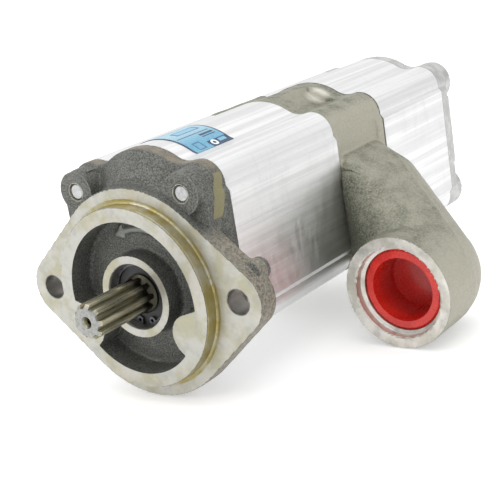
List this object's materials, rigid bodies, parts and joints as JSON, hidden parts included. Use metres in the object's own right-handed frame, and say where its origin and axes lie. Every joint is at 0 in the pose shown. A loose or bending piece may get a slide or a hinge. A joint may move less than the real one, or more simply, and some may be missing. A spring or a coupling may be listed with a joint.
{
  "type": "tandem gear pump",
  "caption": "Tandem hydraulic gear pump: flanged front cover with splined shaft, two aluminium bodies and a shared side suction elbow with a cup plug in its port.",
  "frame": {"origin": "centre of the mounting face, on the drive shaft's axis, where the pilot meets the flange", "axes": "-Y along the drive shaft, out of the mounting face; +X to the side with the suction elbow; +Z from the drive shaft up to the idler gear"},
  "size_m": [0.1735, 0.268, 0.1105],
  "materials": {
    "cover_iron": "rough sand casting, oiled, with machined faces",
    "inlet_iron": "sand casting, grey, with machined faces",
    "body_aluminium": "extruded, with fine lines along its length",
    "end_aluminium": "cast and machined, satin",
    "shaft_steel": "hardened and oiled",
    "gear_steel": "ground",
    "bush_bronze": "satin",
    "block_aluminium": "machined, satin",
    "backup_plastic": "matte",
    "spring_steel": "black phosphated",
    "seal_rubber": "matte",
    "plug_plastic": "glossy",
    "label_film": "printed film",
    "dowel_steel": "ground",
    "zinc_steel": "bright zinc plated"
  },
  "bodies": {
    "housing": {"front_cover": "cover_iron", "seal_snap_ring": "spring_steel", "shaft_seal": "seal_rubber", "seal_spring": "spring_steel", "front_block_fore": "block_aluminium", "front_block_aft": "block_aluminium", "front_bush_1": "bush_bronze", "front_bush_2": "bush_bronze", "front_bush_3": "bush_bronze", "front_bush_4": "bush_bronze", "front_pressure_seal_fore": "seal_rubber", "front_pressure_seal_aft": "seal_rubber", "front_backup_strip_fore": "backup_plastic", "front_backup_strip_aft": "backup_plastic", "cover_seal": "seal_rubber", "front_body": "body_aluminium", "rating_label": "label_film", "inlet_front_seal": "seal_rubber", "inlet_housing": "inlet_iron", "inlet_rear_seal": "seal_rubber", "rear_block_fore": "block_aluminium", "rear_block_aft": "block_aluminium", "rear_bush_1": "bush_bronze", "rear_bush_2": "bush_bronze", "rear_bush_3": "bush_bronze", "rear_bush_4": "bush_bronze", "rear_pressure_seal_fore": "seal_rubber", "rear_pressure_seal_aft": "seal_rubber", "rear_backup_strip_fore": "backup_plastic", "rear_backup_strip_aft": "backup_plastic", "rear_body": "body_aluminium", "end_cover_seal": "seal_rubber", "end_cover": "end_aluminium", "cover_dowels": "dowel_steel", "inlet_front_dowels": "dowel_steel", "inlet_rear_dowels": "dowel_steel", "end_cover_dowels": "dowel_steel", "lock_washers": "zinc_steel", "through_bolts": "zinc_steel"},
    "drive_train": {"drive_shaft": "shaft_steel", "coupling_sleeve": "gear_steel", "rear_drive_gear": "gear_steel"},
    "front_idler": {"front_idler_gear": "gear_steel"},
    "rear_idler": {"rear_idler_gear": "gear_steel"},
    "suction_plug": {"suction_plug": "plug_plastic"},
    "front_outlet_plug": {"front_outlet_plug": "plug_plastic"},
    "rear_outlet_plug": {"rear_outlet_plug": "plug_plastic"}
  },
  "joints": [
    {"name": "drive_spin", "type": "hinge", "parent": "housing", "child": "drive_train", "pos_m": [0, 0, 0], "axis": [0, 1, 0], "continuous": true},
    {"name": "front_idler_spin", "type": "hinge", "parent": "housing", "child": "front_idler", "pos_m": [0, 0, 0.03], "axis": [0, 1, 0], "continuous": true},
    {"name": "rear_idler_spin", "type": "hinge", "parent": "housing", "child": "rear_idler", "pos_m": [0, 0, 0.03], "axis": [0, 1, 0], "continuous": true},
    {"name": "suction_plug_pull", "type": "slide", "parent": "housing", "child": "suction_plug", "axis": [0, -1, 0], "range_m": [0, 0.04]},
    {"name": "front_outlet_plug_pull", "type": "slide", "parent": "housing", "child": "front_outlet_plug", "axis": [-1, 0, 0], "range_m": [0, 0.03]},
    {"name": "rear_outlet_plug_pull", "type": "slide", "parent": "housing", "child": "rear_outlet_plug", "axis": [-1, 0, 0], "range_m": [0, 0.03]}
  ],
  "couplings": [
    {"joint": "front_idler_spin", "follows": "drive_spin", "ratio": -1},
    {"joint": "rear_idler_spin", "follows": "drive_spin", "ratio": -1}
  ]
}
